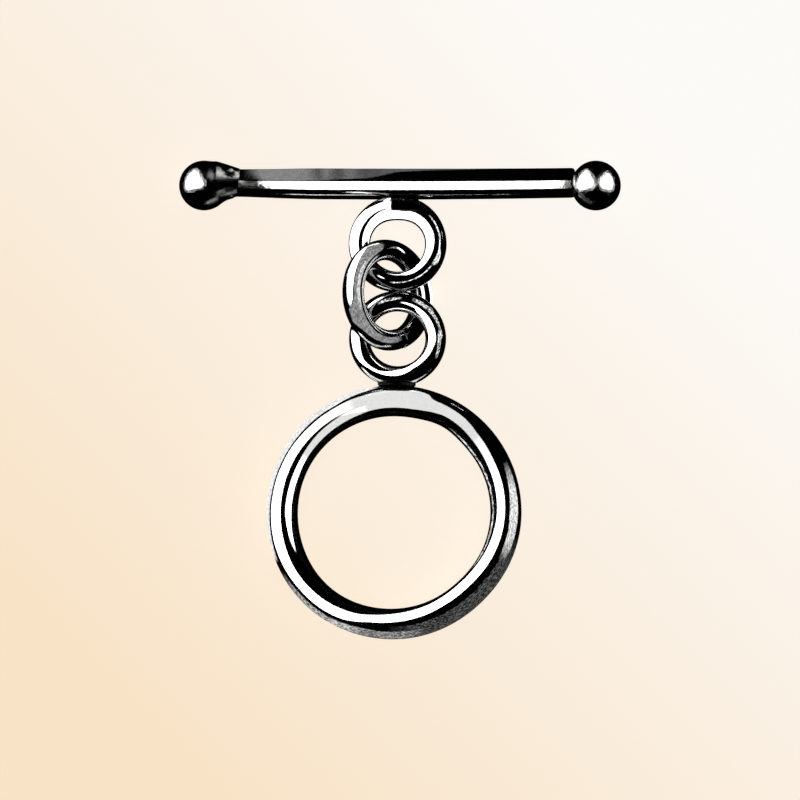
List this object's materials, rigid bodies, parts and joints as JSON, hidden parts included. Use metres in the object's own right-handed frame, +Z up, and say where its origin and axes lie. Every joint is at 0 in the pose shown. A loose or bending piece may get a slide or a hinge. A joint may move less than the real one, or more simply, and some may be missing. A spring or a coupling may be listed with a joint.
{
  "type": "toggle clasp",
  "caption": "Jewellery toggle clasp: a ball-ended bar and a round ring, each with a small soldered loop, linked by an open jump ring and lying on a surface.",
  "frame": {"origin": "on the surface the clasp lies on, under the middle of its bounding box", "axes": "+Z up from the surface, +Y from the toggle ring to the bar, +X along the bar"},
  "size_m": [0.026, 0.0282, 0.005],
  "materials": {
    "polished_silver": "polished silver, hand finished, with fine scratches",
    "jump_ring_silver": "drawn silver wire, tumbled to a slightly greyer shine"
  },
  "bodies": {
    "root": {"toggle_bar": "polished_silver", "jump_ring": "jump_ring_silver", "toggle_ring": "polished_silver"}
  },
  "joints": []
}
